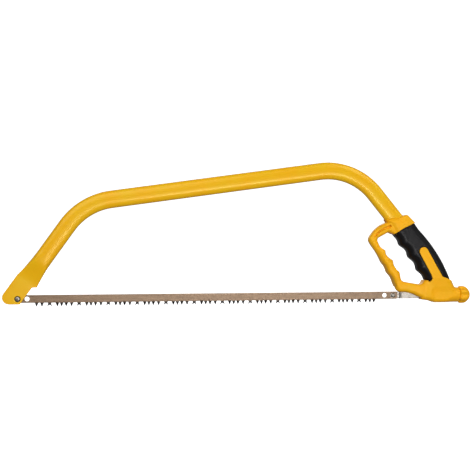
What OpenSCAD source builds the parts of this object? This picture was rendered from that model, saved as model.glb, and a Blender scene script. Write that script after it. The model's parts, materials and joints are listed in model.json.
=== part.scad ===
// Bow saw: a bent flat-oval steel tube holds a raker-tooth blade under tension.
// The front end of the tube is flattened into a slotted nose with a cross screw.
// The rear end sits in a moulded handle, where a knob on a threaded draw bar
// pulls the blade tight.
// Millimetres. +X runs from the nose to the handle, +Z is up, Y is the thickness.

/* [Blade] */
// Distance between the two outer blade holes
pin_span = 594.4; // [480:1:760]
// Height of the blade's plain strip
blade_h = 12; // [9:0.5:18]
// Thickness of the blade
blade_t = 0.8; // [0.6:0.05:1.2]
// Diameter of the blade holes
blade_hole_d = 7.2; // [6.5:0.1:8.5]
// From each outer hole to the blade's end
blade_end = 7.8; // [6:0.1:10]
// From each outer hole to the spare hole beside it
spare_hole_step = 13.4; // [11:0.1:18]
// Length of one group of a raker and four cutting teeth
tooth_group = 44.64; // [30:0.1:60]
// Height of a cutting tooth
tooth_h = 5.7; // [3:0.1:8]

/* [Frame tube] */
// Width of the flat-oval tube in the plane of the saw
tube_w = 27.5; // [22:0.5:32]
// Thickness of the flat-oval tube across the saw
tube_t = 16; // [13:0.5:20]
// Wall of the tube
wall = 1.6; // [1.2:0.1:2]
// Radius of both bends on the tube's centre line
bend_r = 100; // [80:1:120]
// Slope of the front leg
front_angle = 54.5; // [50:0.5:60]
// Slope of the rear leg
rear_angle = 50.5; // [47:0.5:54]
// Height of the front corner above the blade holes
front_h = 147.2; // [125:1:180]
// Height of the rear corner above the blade holes
rear_h = 207.6; // [190:1:250]

/* [Nose] */
// Width of the flattened nose
nose_w = 36; // [32:0.5:40]
// Width of the slot that takes the blade
slot_t = 1.2; // [1:0.05:1.6]
// Diameter of both blade pins
pin_d = 5; // [4.5:0.1:5.6]
// Diameter of the dished recess round the front screw's head
recess_d = 9.7; // [9:0.1:12]

/* [Handle] */
// Thickness of the grip across the saw
grip_t = 30; // [27:0.5:36]
// Thickness of the black skin over the handle's core
skin = 2.5; // [1.5:0.1:3]
// Thickness of the finger guard
guard_t = 15; // [12:0.5:20]
// Thickness of the collar round the tube
collar_t = 24; // [22.5:0.5:28]
// Radius of the boss that the knob bears on
boss_r = 12; // [10.5:0.5:14]
// Depth of each finger hollow in the grip
finger_depth = 4; // [2:0.5:5]

/* [Tensioner] */
// Diameter of the draw bar's threaded rod
rod_d = 6; // [5:0.5:7]
// Height of the draw bar's flat part
bar_h = 11; // [9:0.5:12]
// Thickness of the draw bar's flat part
bar_t = 2.5; // [2:0.1:3]
// Radius of the knob's skirt
knob_r = 14; // [12:0.5:15]
// Length of the knob
knob_l = 19.6; // [17:0.2:24]

/* [Hidden] */
$fn = 64;

running = 0.05;     // radial clearance of a turning or sliding fit
seat = 0.05;        // left between a pin and the side of its hole, and under the knob
snug = 0.02;        // radial clearance of pieces that are fixed together
far = 100;          // longer than any cut that it makes

// The frame's corners, and the feet where its legs' centre lines meet the blade line
front_foot = -6.1;
rear_foot = pin_span + 105.8;
front_corner = [front_foot + front_h / tan(front_angle), front_h];
rear_corner = [rear_foot - rear_h / tan(rear_angle), rear_h];
limb = rear_corner - front_corner;
limb_angle = atan2(limb.y, limb.x);
front_turn = front_angle - limb_angle;
rear_turn = rear_angle + limb_angle;
bend_steps = 12;
oval_steps = 10;
squeeze_steps = 8;
tube_end_h = 55;    // height at which the tube ends inside the handle

// Flattened nose, measured up the front leg from its foot
flat_s = 32;
full_s = 85;
nose_t = 2 * wall + slot_t;
nose_floor = -8.2;
nose_step = 17.4;
cut_offset = 11.7;
nose_tip_r = 10.7;

// Blade pins, which pull on the outboard side of their holes
pin_shift = (blade_hole_d - pin_d) / 2 - seat;
front_pin_x = -pin_shift;
rear_pin_x = pin_span + pin_shift;
recess_depth = 0.9;
screw_head_d = 7.4;
screw_head_t = 0.8;
washer_t = 1;
nut_t = 4;
nut_w = 8;
stud_head_d = 6.6;
stud_head_t = 1.2;

// Draw bar, which lies behind the blade and steps to the middle of the handle
bar_back = blade_t / 2 + 0.1;
bar_tip = -bar_h / 2 + 0.2;
step_start = 10.4;
step_end = 14.6;
bar_end = 60;
bar_gap = 0.15;
rod_start = bar_end - 1;
travel = 4;         // how far the knob lets the draw bar out
rod_end = 126;

// Handle, measured from the rear outer blade hole
boss_x = 111.8;
washer_d = 16;
rod_bore_d = rod_d + 2 * running;
knob_x = boss_x + 0.2;
insert_d = rod_d + 4;
insert_l = 10;
skirt_l = 10.6;
dome_r = 11.4;
flutes = 8;
flute_r = 3.2;
handle_screw_h = 112;
handle_screw_d = 4;
handle_screw_l = 12;
handle_head_d = 7.6;
handle_head_t = 2.2;
handle_head_bore = 3;

// The grip's centre, which is the part's origin
grip_centre = [pin_span + 48.6, 70];

// Points from p up to, but not including, q on an arc that stands sag to the left
// of the way from p to q, or to the right where sag is negative
function bow(p, q, sag, n = 8) =
    let (d = q - p, l = norm(d), along = d / l, left = [-along.y, along.x])
    let (r = (l * l / 4 + sag * sag) / (2 * sag), c = (p + q) / 2 - left * (r - sag))
    let (h = asin(l / 2 / r))
    [for (i = [0:n - 1]) let (a = h * (2 * i / n - 1)) c + r * (left * cos(a) + along * sin(a))];

// The points of corner c, rounded with radius c[2], between its neighbours p and q
function corner(p, c, q) =
    let (o = [c.x, c.y], r = c[2])
    let (u = ([p.x, p.y] - o) / norm([p.x, p.y] - o), v = ([q.x, q.y] - o) / norm([q.x, q.y] - o))
    let (half = acos(u * v) / 2, t = r / tan(half), a = o + u * t, b = o + v * t)
    let (side = cross(b - a, o - a) > 0 ? 1 : -1)
    concat(bow(a, b, side * r * (1 - sin(half)), 6), [b]);

// An outline from corners [x, y] or [x, y, radius]
function rounded(pts) =
    let (n = len(pts))
    [for (i = [0:n - 1])
        each len(pts[i]) < 3 ? [pts[i]] : corner(pts[(i + n - 1) % n], pts[i], pts[(i + 1) % n])];

// A point s up the front leg from its foot and t towards the inside of the bow
function on_leg(s, t) =
    [front_foot + s * cos(front_angle) + t * sin(front_angle),
     s * sin(front_angle) - t * cos(front_angle)];

// A point of the front leg's parallel line t from its centre, at height z
function leg_at(t, z) = on_leg((z + t * cos(front_angle)) / sin(front_angle), t);

// The point of the rear leg's centre line at height z
function on_rear_leg(z) = [rear_foot - z / tan(rear_angle), z];

module place() translate([-grip_centre.x, 0, -grip_centre.y]) children();
module at_handle() translate([pin_span, 0, 0]) children();
// An outline in X and Z, made t thick about the middle plane
module plate(t) rotate([90, 0, 0]) linear_extrude(t, center = true) children();
module along_x(l) rotate([0, 90, 0]) linear_extrude(l) children();
// A cylinder across the saw from y0 to y1
module cross_pin(x, z, d, y0, y1) translate([x, y1, z]) rotate([90, 0, 0]) cylinder(d = d, h = y1 - y0);

// ---- frame tube ----

// The flat-oval section's points, w wide in the plane of the saw and t thick
function oval(w, t) =
    [for (side = [1, -1]) for (i = [0:oval_steps]) let (a = 180 * i / oval_steps - 90)
        side * [(w - t + t * cos(a)) / 2, t / 2 * sin(a)]];

// A station of the tube: its centre, its heading, its width and its thickness
function full_station(p, a) = [p, a, tube_w, tube_t];

// A station s up the front leg, where the tube narrows to the flat nose
function nose_station(s) =
    let (k = min(1, max(0, (full_s - s) / (full_s - flat_s))))
    [on_leg(s, 0), front_angle, tube_w + (nose_w - tube_w) * pow(k, 2.2),
     tube_t + (nose_t - tube_t) * pow(sin(90 * k), 2)];

// The stations of a bend whose straight lengths would meet at corner c, heading at a
function bend_stations(c, a, turn) =
    let (cut = bend_r * tan(turn / 2), o = c - cut * [cos(a), sin(a)] + bend_r * [sin(a), -cos(a)])
    [for (i = [0:bend_steps]) let (h = a - turn * i / bend_steps)
        full_station(o + bend_r * [-sin(h), cos(h)], h)];

// All stations, with both ends moved out by extra
function tube_stations(extra) = concat(
    [nose_station(-60 - extra)],
    [for (i = [0:squeeze_steps]) nose_station(flat_s + (full_s - flat_s) * i / squeeze_steps)],
    bend_stations(front_corner, front_angle, front_turn),
    bend_stations(rear_corner, limb_angle, rear_turn),
    [full_station(on_rear_leg(tube_end_h - extra), -rear_angle)]);

// The tube's outside, or with in = wall and extra = 1 its inside
module tube_body(in, extra) {
    stations = tube_stations(extra);
    n = 2 * (oval_steps + 1);
    rings = len(stations);
    points = [for (st = stations) let (c = st[0], a = st[1])
        for (q = oval(st[2] - 2 * in, st[3] - 2 * in)) [c.x + q.x * sin(a), q.y, c.y - q.x * cos(a)]];
    sides = [for (i = [0:rings - 2]) for (j = [0:n - 1])
        let (k = (j + 1) % n, a = i * n + j, b = i * n + k)
        each [[a, b + n, b], [a, a + n, b + n]]];
    last = (rings - 1) * n;
    ends = [for (j = [1:n - 2]) each [[0, j, j + 1], [last, last + j + 1, last + j]]];
    polyhedron(points, concat(sides, ends));
}

// All that is kept of the tube: the nose is cut away so that the blade can enter its slot
module trim_outline() {
    edge = nose_w / 2 + 0.2;
    top = rear_h + bend_r;
    polygon(rounded([
        leg_at(-edge, top),
        concat(leg_at(-edge, nose_floor), nose_tip_r),
        concat(leg_at(cut_offset, nose_floor), 1),
        concat(leg_at(cut_offset, nose_step), 4),
        [rear_foot, nose_step],
        [rear_foot, top]]));
}

module frame_tube() color("goldenrod") place() difference() {
    intersection() {
        tube_body(0, 0);
        plate(2 * tube_t) trim_outline();
    }
    tube_body(wall, 1);
    cross_pin(front_pin_x, 0, pin_d + 2 * snug, -nose_t, nose_t);
    cross_pin(front_pin_x, 0, recess_d, -nose_t, -nose_t / 2 + recess_depth);
    // thread hole for the screw that holds the handle
    cross_pin(handle_screw_x, handle_screw_h, handle_screw_d + 2 * snug, 0, tube_t);
}

// ---- front pin ----

screw_seat = -nose_t / 2 + recess_depth;
screw_tip = nose_t / 2 + washer_t + nut_t + 1;

module front_pin_screw() color("silver") place() difference() {
    union() {
        cross_pin(front_pin_x, 0, screw_head_d, screw_seat - screw_head_t, screw_seat);
        cross_pin(front_pin_x, 0, pin_d, screw_seat - 0.01, screw_tip);
    }
    translate([front_pin_x, screw_seat - screw_head_t, 0]) rotate([0, 45, 0])
        cube([screw_head_d + 1, 0.8, 1.2], center = true);
}

module front_pin_washer() color("silver") place() difference() {
    cross_pin(front_pin_x, 0, 2 * pin_d, nose_t / 2, nose_t / 2 + washer_t);
    cross_pin(front_pin_x, 0, pin_d + 2 * snug, 0, tube_t);
}

module front_pin_nut() color("silver") place() difference() {
    translate([front_pin_x, nose_t / 2 + washer_t + nut_t, 0]) rotate([90, 0, 0])
        cylinder(d = nut_w / cos(30), h = nut_t, $fn = 6);
    cross_pin(front_pin_x, 0, pin_d + 2 * snug, 0, tube_t);
}

// ---- blade ----

groups = floor((pin_span - 2 * spare_hole_step - tooth_group / 2) / tooth_group);
first_raker = (pin_span - (groups - 1) * tooth_group) / 2 - 0.1 * tooth_group;
tooth_w = 4.4;
raker_w = 7.5;
root = -blade_h / 2;
tip = root - tooth_h;

// A cutting tooth and a forked raker, each from left to right along the blade's edge
function tooth(x) = [[x - tooth_w / 2, root], [x, tip], [x + tooth_w / 2, root]];
function raker(x) =
    [[x - 0.28 * raker_w, root], [x - raker_w / 2, tip + 0.3], [x, tip + 0.4 * tooth_h],
     [x + raker_w / 2, tip + 0.3], [x + 0.28 * raker_w, root]];
cutters = [0.26, 0.405, 0.56, 0.743];

function lead_in() = [for (c = [cutters[2], cutters[3]]) each tooth(first_raker + (c - 1) * tooth_group)];
function group(i) =
    let (x = first_raker + i * tooth_group)
    concat(raker(x), [for (j = [0:(i < groups - 1 ? 3 : 2)]) each tooth(x + cutters[j] * tooth_group)]);

module blade_outline() {
    l = -blade_end;
    r = pin_span + blade_end;
    polygon(concat(
        corner([l, 0], [l, -root, 1.5], [r, -root]), corner([l, -root], [r, -root, 1.5], [r, 0]),
        corner([r, 0], [r, root, 1.5], [l, root]),
        [for (p = [for (m = [lead_in(), for (i = [0:groups - 1]) group(i)]) each m]) [pin_span - p.x, p.y]],
        corner([r, root], [l, root, 1.5], [l, 0])));
}

module blade() color("tan") place() difference() {
    plate(blade_t) translate([pin_span, 0]) mirror([1, 0]) blade_outline();
    for (x = [0, spare_hole_step, pin_span - spare_hole_step, pin_span])
        cross_pin(x, 0, blade_hole_d, -far, far);
}

// ---- handle and grip ----

// Points of the handle at height z, d outside the tube's finger side or its back side
function finger_side(d, z) =
    [on_rear_leg(z).x - pin_span - (tube_w / 2 + d) / sin(rear_angle), z];
function back_side(d, z) =
    [on_rear_leg(z).x - pin_span + (tube_w / 2 + d) / sin(rear_angle), z];

// Corners of the finger side, where the hollows for the fingers meet
grip_top = finger_side(4.5, 98.7);
ridge_1 = finger_side(7.3, 81.8);
ridge_2 = finger_side(7.9, 62.9);
ridge_3 = finger_side(10.5, 41.8);
grip_foot = [53.5, 25];
// The grip's shoulder, its back edge and the point behind the block
shoulder = back_side(7, 117.3);
shoulder_corner = back_side(8.7, 115.5);
back_top = back_side(5.5, 107);
back_foot = [94.3, 30.2];
heel = [98.5, 24.4];

module grip_outline() polygon(concat(
    bow(grip_foot, ridge_3, -finger_depth / 2),
    bow(ridge_3, ridge_2, -finger_depth),
    bow(ridge_2, ridge_1, -finger_depth),
    bow(ridge_1, grip_top, -finger_depth / 2),
    bow(grip_top, shoulder, 5),
    corner(shoulder, concat(shoulder_corner, 3), back_top),
    bow(back_top, back_foot, 4.4),
    [heel, [76, 31], [68, 31], [58.8, 19.7]]));

// The yellow strip that shows through the grip on both faces
module spine_outline() polygon(rounded([[88, 18], [53, 78.3, 7], [36, 78.3, 6.5], [66, 24]]));

// The core under the grip: inside the hollows, the skin and the back edge
module core_outline() {
    lean = [ridge_3.x - ridge_1.x, ridge_3.y - ridge_1.y] / norm(ridge_3 - ridge_1);
    inside = [-lean.y, lean.x] * (finger_depth + skin);
    back_in = [-skin / sin(rear_angle), -skin * 0.5];
    polygon(concat(
        [ridge_3 + inside + 26 * lean, ridge_1 + inside, grip_top + [skin + 0.7, 2]],
        [finger_side(0.5, 106), [20, 122], back_side(2.8, 118)],
        bow(back_top + back_in, back_foot + back_in, 4.4),
        [[86, 20]]));
}

module grip() color([0.13, 0.13, 0.14]) place() at_handle() difference() {
    plate(grip_t) grip_outline();
    plate(grip_t - 2 * skin) core_outline();
    plate(2 * grip_t) spine_outline();
}

// Collar round the tube, up to the grip's top edge
collar_edge = [finger_side(0.9, 118), finger_side(-3.4, 121.8)];
module collar_outline() polygon(concat(
    collar_edge,
    corner(collar_edge[1], concat(back_side(5.1, 131.3), 3), shoulder),
    [shoulder, [20, 95], [12, 95], grip_top, [-5, 101.5]]));

// Ridges of the guard's inner edge, and its corners
guard_1 = [-12.9, 72.5];
guard_2 = [0.1, 56];
guard_3 = [13, 37];

module guard_outline() polygon(concat(
    corner([1.5, 19.5], [-41, 87, 8], [-41, 95]),
    bow([-41, 92], [-9, 118.2], 5),
    [[-9, 118.2], [3, 112], [3, 101]],
    corner([3, 101], [-9, 102.2, 8], [-27, 93]),
    corner([-9, 102.2], [-27.5, 91.5, 5], [-23, 82]),
    bow([-23, 81], guard_1, -1),
    bow(guard_1, guard_2, -3.5),
    bow(guard_2, guard_3, -3.5),
    corner(guard_3, [13.5, 23, 7], [40, 17.8]),
    corner([13.5, 23], [50, 16.5, 4], [54, 26]),
    [[54, 26], [66, 26], [66, -8], [48, -6], [48, -4], [33, 3.5]],
    corner([33, 3.5], [20, 6, 8], [11, 6]),
    corner([20, 6], [6, 6.3, 6], [1.5, 19.5])));

// Block round the draw bar, with the foot of the grip on top
module block_outline() polygon(concat(
    [[48, -6.1], [48, 17.5], grip_foot, [60, 34], [86, 34], heel],
    corner(heel, [104, boss_r, 5], [boss_x, boss_r]),
    [[104, boss_r], [104, -boss_r]],
    corner([104, -boss_r], [69, -boss_r, 5], [62, -8.7]),
    [[62, -8.7]]));

module handle_body() {
    plate(guard_t) guard_outline();
    plate(collar_t) collar_outline();
    plate(2 * boss_r) block_outline();
    plate(grip_t - 2 * skin) core_outline();
    intersection() {
        plate(grip_t) spine_outline();
        plate(grip_t) union() {
            grip_outline();
            block_outline();
        }
    }
    translate([100, 0, 0]) along_x(boss_x - 100) circle(boss_r);
}

// The rear leg's centre line at the height of the handle screw
handle_screw_x = on_rear_leg(handle_screw_h).x;

// Socket for the tube, from its end up past the collar
module tube_socket() {
    p = on_rear_leg(tube_end_h - running);
    w = tube_w + 2 * running;
    t = tube_t + 2 * running;
    translate([p.x, 0, p.y]) rotate([0, rear_angle - 90, 0]) linear_extrude(1.2 * far) {
        square([w - t, t], center = true);
        for (side = [-1, 1]) translate([side * (w - t) / 2, 0]) circle(d = t);
    }
}

// Slot up to x for a stretch of the draw bar whose far face lies at y
module bar_slot(x, y) translate([0, -bar_t / 2 - bar_gap, -bar_h / 2 - bar_gap])
    cube([x, y + bar_t / 2 + 2 * bar_gap, bar_h + 2 * bar_gap]);

module handle() color("orange") difference() {
    place() difference() {
        at_handle() handle_body();
        tube_socket();
        at_handle() {
            // slot for the draw bar's flat part, open below the arm and wider before the step
            bar_slot(bar_end + 1, bar_t / 2);
            bar_slot(step_end + 2, bar_back + bar_t);
            translate([rod_start - travel - 1, 0, 0]) along_x(far) circle(d = rod_bore_d);
            translate([boss_x - 1, 0, 0]) along_x(far) circle(d = washer_d + 4 * running);
        }
        cross_pin(handle_screw_x, handle_screw_h, handle_screw_d + 2 * snug, 0, far);
        cross_pin(handle_screw_x, handle_screw_h, handle_head_d + 0.6, collar_t / 2 - handle_head_bore, far);
    }
    grip();
}

module handle_screw() color("dimgray") place() {
    top = collar_t / 2 - handle_head_bore;
    difference() {
        union() {
            cross_pin(handle_screw_x, handle_screw_h, handle_head_d, top, top + handle_head_t);
            cross_pin(handle_screw_x, handle_screw_h, handle_screw_d, top - handle_screw_l + 3, top + 0.01);
        }
        for (a = [0, 90]) translate([handle_screw_x, top + handle_head_t, handle_screw_h])
            rotate([0, a, 0]) cube([4.4, 2.4, 1], center = true);
    }
}

// ---- tensioner ----

module draw_bar() color("silver") place() at_handle() difference() {
    union() {
        // the flat part seen from above, with its step behind the blade
        translate([0, 0, -bar_h / 2]) linear_extrude(bar_h) polygon([
            [pin_shift + bar_tip, bar_back], [step_start, bar_back], [step_end, -bar_t / 2],
            [bar_end, -bar_t / 2], [bar_end, bar_t / 2], [step_end + 0.8, bar_t / 2],
            [step_start + 0.8, bar_back + bar_t], [pin_shift + bar_tip, bar_back + bar_t]]);
        translate([rod_start, 0, 0]) along_x(rod_end - rod_start) circle(d = rod_d);
    }
    cross_pin(pin_shift, 0, pin_d - 1 + 2 * snug, -far, far);
}

module rear_stud() color("gray") place() {
    front = -blade_t / 2 - 0.2;
    cross_pin(rear_pin_x, 0, stud_head_d, front - stud_head_t, front);
    cross_pin(rear_pin_x, 0, pin_d, front - 0.01, bar_back);
    cross_pin(rear_pin_x, 0, pin_d - 1, bar_back - 0.01, bar_back + bar_t);
}

module thrust_washer() color("silver") place() at_handle() difference() {
    translate([boss_x - 1, 0, 0]) along_x(1.1) circle(d = washer_d);
    translate([boss_x - 2, 0, 0]) along_x(far) circle(d = rod_d + 1);
}

// Skirt and dome, turned about the rod, with flutes for the fingers
module knob() color("orange") place() at_handle() translate([knob_x, 0, 0]) difference() {
    rotate([0, 90, 0]) rotate_extrude() polygon(concat(
        [[0, 0], [knob_r - 1, 0], [knob_r, 1], [knob_r, skirt_l - 2], [knob_r - 2, skirt_l],
         [dome_r, skirt_l]],
        bow([dome_r, skirt_l], [0, knob_l], -3.6, 12), [[0, knob_l]]));
    for (i = [0:flutes - 1]) rotate([(i + 0.5) * 360 / flutes, 0, 0])
        translate([-1, 0, knob_r + 0.55 * flute_r]) along_x(skirt_l + 1.01) circle(flute_r);
    translate([-1, 0, 0]) along_x(insert_l + 1) circle(d = insert_d + 2 * snug);
    along_x(rod_end - knob_x + 1.5) circle(d = rod_d + 1);
}

module knob_insert() color("gold") place() at_handle() translate([knob_x, 0, 0]) difference() {
    along_x(insert_l) circle(d = insert_d);
    translate([-1, 0, 0]) along_x(far) circle(d = rod_bore_d);
}

frame_tube();
front_pin_screw();
front_pin_washer();
front_pin_nut();
blade();
handle();
grip();
handle_screw();
draw_bar();
rear_stud();
thrust_washer();
knob();
knob_insert();
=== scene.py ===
"""Looks of the bow saw. Lengths are millimetres in the saw's own frame, and to_row() turns them
into the row frame's metres. X runs along the blade from its front outer hole, Z is up from the
line through the blade's holes, and Y goes through the saw."""

import itertools
import json
import math

import bpy
import numpy as np
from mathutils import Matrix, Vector
from mathutils.geometry import delaunay_2d_cdt


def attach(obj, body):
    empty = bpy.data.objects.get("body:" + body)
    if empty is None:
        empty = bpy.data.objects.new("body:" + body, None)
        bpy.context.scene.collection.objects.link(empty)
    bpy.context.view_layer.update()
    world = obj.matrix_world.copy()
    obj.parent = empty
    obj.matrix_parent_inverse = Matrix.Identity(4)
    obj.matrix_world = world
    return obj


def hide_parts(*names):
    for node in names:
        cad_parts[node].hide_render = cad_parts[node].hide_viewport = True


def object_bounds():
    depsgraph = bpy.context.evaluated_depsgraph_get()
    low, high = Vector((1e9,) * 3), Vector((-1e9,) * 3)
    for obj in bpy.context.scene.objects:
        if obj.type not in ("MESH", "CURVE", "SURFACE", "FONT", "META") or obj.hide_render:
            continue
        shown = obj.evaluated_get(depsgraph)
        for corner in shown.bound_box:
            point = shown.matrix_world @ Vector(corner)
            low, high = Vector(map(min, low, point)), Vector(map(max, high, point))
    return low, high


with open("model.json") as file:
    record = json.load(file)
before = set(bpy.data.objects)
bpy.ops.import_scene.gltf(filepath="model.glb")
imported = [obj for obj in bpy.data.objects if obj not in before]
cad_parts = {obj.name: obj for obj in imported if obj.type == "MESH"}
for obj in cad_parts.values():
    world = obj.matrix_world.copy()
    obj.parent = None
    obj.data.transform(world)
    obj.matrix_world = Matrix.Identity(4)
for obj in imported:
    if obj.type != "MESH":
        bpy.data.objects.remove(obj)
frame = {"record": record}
cad_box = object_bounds()

# ---- the saw's frame ----

MM = 0.001
MOUNTS = {m["name"]: m["pos_m"] for m in frame["record"]["mounts"]}
SPARE_STEP = 13.4       # from an outer blade hole to the spare hole beside it
PIN_SPAN = (MOUNTS["blade_hole_rear"][0] - MOUNTS["blade_hole_front"][0]) / MM + 2 * SPARE_STEP
DATUM = np.array(MOUNTS["blade_hole_front"]) - [SPARE_STEP * MM, 0, 0]

# Blade
BLADE_H, BLADE_T, HOLE_D, BLADE_END = 12.0, 0.8, 7.2, 7.8
TOOTH_GROUP, TOOTH_H, TOOTH_W, RAKER_W = 44.64, 5.7, 4.4, 7.5
GROUPS = 12
FIRST_RAKER = (PIN_SPAN - (GROUPS - 1) * TOOTH_GROUP) / 2 - 0.1 * TOOTH_GROUP
CUTTERS = (0.26, 0.405, 0.56, 0.743)    # places of the cutting teeth in a group

# Frame tube
TUBE_W, TUBE_T, WALL, BEND_R = 27.5, 16.0, 1.6, 100.0
CROWN_R = 32.0          # crown of the tube's two broad faces
FRONT_ANGLE, REAR_ANGLE = math.radians(54.5), math.radians(50.5)
FRONT_FOOT, REAR_FOOT = -6.1, PIN_SPAN + 105.8
FRONT_H, REAR_H, TUBE_END_H = 147.2, 207.6, 55.0
NOSE_W, NOSE_T, FLAT_S, FULL_S = 36.0, 4.4, 32.0, 85.0

# Pins
PIN_D, PIN_SHIFT = 5.0, 1.05
FRONT_PIN = (-PIN_SHIFT, 0.0)
REAR_PIN = (PIN_SPAN + PIN_SHIFT, 0.0)

# Handle, measured from the rear outer blade hole
GRIP_T, SKIN, GUARD_T, COLLAR_T = 30.0, 2.5, 15.0, 24.0
BOSS_X, BOSS_R = 111.8, 12.0
HANDLE_SCREW_H = 112.0
BAR_H, BAR_T, ROD_D, ROD_END = 11.0, 2.5, 6.0, 126.0
STEP_START, STEP_L = 10.4, 4.2     # where the draw bar steps to the handle's middle
KNOB_X, KNOB_R, KNOB_L, SKIRT_L = 112.0, 14.0, 19.6, 10.6
LOBES = 6               # lobes round the knob
GAP = 0.22              # the fine line between two mouldings
GRIP_EDGE, GUARD_EDGE, COLLAR_EDGE = 11.5, 5.8, 3.2     # roundings of the handle's long edges
BAR_FIT, SOCKET_FIT = 0.15, 0.2     # clearances of the bar's slot and of the tube's socket
BAR_BACK = BLADE_T / 2 + 0.1        # the draw bar's near face, just behind the blade
WASHER_R, SEAT_R, WASHER_T = 8.0, 8.1, 1.0
SCREW_HEAD_R, RECESS_R, RECESS_DEPTH = 3.8, 4.1, 3.0    # the handle's screw
DISH_R, DISH_DEPTH = 5.2, 0.9       # the recess round the front screw
INSERT_R, INSERT_L = 5.0, 10.0      # the knob's brass insert

FINE = 1.0       # grid step factor


def to_row(points):
    """Millimetres in the saw's frame to metres in the row frame."""
    return np.asarray(points, float) * MM + DATUM


def smoothstep(u):
    u = np.clip(u, 0, 1)
    return u * u * (3 - 2 * u)


# ---- outlines ----

def bow(p, q, sag, n=10):
    """Points from p up to q on an arc that stands sag to the left of the way there."""
    p, q = np.array(p, float), np.array(q, float)
    d = q - p
    length = np.hypot(*d)
    along = d / length
    left = np.array([-along[1], along[0]])
    r = (length ** 2 / 4 + sag ** 2) / (2 * sag)
    c = (p + q) / 2 - left * (r - sag)
    h = math.asin(length / 2 / r)
    turns = [h * (2 * i / n - 1) for i in range(n)]
    return [tuple(c + r * (left * math.cos(a) + along * math.sin(a))) for a in turns]


def hollow(p, q, depth, peak, n=12):
    """Points between p and q along a hollow to the left of the way, deepest at the share peak."""
    p, q = np.array(p, float), np.array(q, float)
    d = q - p
    left = np.array([-d[1], d[0]]) / np.hypot(*d)
    g = math.log(0.5) / math.log(peak)
    return [tuple(p + d * u + left * depth * math.sin(math.pi * u ** g))
            for u in ((i / n) for i in range(1, n))]


def corner(p, c, q, r):
    """Corner c between p and q as an arc of radius r."""
    o = np.array(c[:2], float)
    u, v = (np.array(e[:2], float) - o for e in (p, q))
    u, v = u / np.hypot(*u), v / np.hypot(*v)
    half = math.acos(float(u @ v)) / 2
    t = r / math.tan(half)
    a, b = o + u * t, o + v * t
    side = 1 if (b - a)[0] * (o - a)[1] - (b - a)[1] * (o - a)[0] > 0 else -1
    return bow(a, b, side * r * (1 - math.sin(half)), 6) + [tuple(b)]


def rounded(points):
    """An outline from corners (x, z) or (x, z, radius)."""
    out = []
    for i, c in enumerate(points):
        if len(c) < 3:
            out.append(tuple(c))
        else:
            out += corner(points[i - 1], c, points[(i + 1) % len(points)], c[2])
    return out


# ---- signed distances, negative inside ----

def outline(points):
    """The distance from a closed outline, as a function of two coordinates."""
    a = np.array([p[:2] for p in points], float)
    b = np.roll(a, -1, axis=0)
    keep = np.hypot(*(b - a).T) > 1e-6
    edges = list(zip(a[keep], b[keep]))

    def distance(x, z):
        x, z = np.broadcast_arrays(x, z)
        best = np.full(x.shape, np.inf)
        inside = np.zeros(x.shape, bool)
        for p, q in edges:
            e = q - p
            wx, wz = x - p[0], z - p[1]
            t = np.clip((wx * e[0] + wz * e[1]) / (e @ e), 0, 1)
            best = np.minimum(best, (wx - e[0] * t) ** 2 + (wz - e[1] * t) ** 2)
            if e[1]:
                inside ^= ((p[1] <= z) != (q[1] <= z)) & (wx < e[0] * wz / e[1])
        return np.where(inside, -1, 1) * np.sqrt(best)
    return distance


def meet(a, b, r):
    """The part inside both, with its edge rounded by about r."""
    h = np.maximum(r - np.abs(a - b), 0) / r
    return np.maximum(a, b) + h * h * r / 4


def join(a, b, r):
    """Both together, with a fillet of about r."""
    return -meet(-a, -b, r)


def cut(a, b, r=0.6):
    """a without b."""
    return meet(a, -b, r)


def plate(d, y, thick, r):
    """An outline's distance d made thick about the middle plane, with its edges rounded by r."""
    a, b = d + r, np.abs(y) - thick / 2 + r
    return np.minimum(np.maximum(a, b), 0) + np.hypot(np.maximum(a, 0), np.maximum(b, 0)) - r


def rod(u, v, d):
    return np.hypot(u, v) - d / 2


def span(x, x0, x1):
    return np.abs(x - (x0 + x1) / 2) - (x1 - x0) / 2


# ---- meshes ----

def slope(field, p, h=0.02):
    g = np.empty_like(p)
    for k in range(3):
        d = np.zeros(3)
        d[k] = h
        g[:, k] = field(*(p + d).T) - field(*(p - d).T)
    return g / (2 * h)


def settle(field, p, steps):
    """Moves points onto the field's surface."""
    for _ in range(steps):
        g = slope(field, p)
        move = (field(*p.T) / np.maximum((g * g).sum(1), 0.05))[:, None] * g
        p = p - np.clip(move, -0.5, 0.5)
    return p


CUBE = list(itertools.product((0, 1), repeat=3))


def crossed_cells(inside):
    """The grid cells that the surface runs through."""
    n = [s - 1 for s in inside.shape]
    count = sum(inside[a:a + n[0], b:b + n[1], c:c + n[2]].astype(np.int8) for a, b, c in CUBE)
    return np.argwhere((count > 0) & (count < 8))


def cell_points(v, axes, cells):
    """For each cell, the mean of the points where its edges cross the surface."""
    total, hits = np.zeros((len(cells), 3)), np.zeros(len(cells))
    for a in CUBE:
        for k in range(3):
            if a[k]:
                continue
            b = tuple(c + (j == k) for j, c in enumerate(a))
            ca, cb = cells + a, cells + b
            va, vb = v[tuple(ca.T)], v[tuple(cb.T)]
            crossed = (va < 0) != (vb < 0)
            t = np.where(crossed, va / np.where(crossed, va - vb, 1), 0)
            pa = np.stack([axes[j][ca[:, j]] for j in range(3)], 1)
            pb = np.stack([axes[j][cb[:, j]] for j in range(3)], 1)
            total += crossed[:, None] * (pa + t[:, None] * (pb - pa))
            hits += crossed
    return total / hits[:, None]


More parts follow.
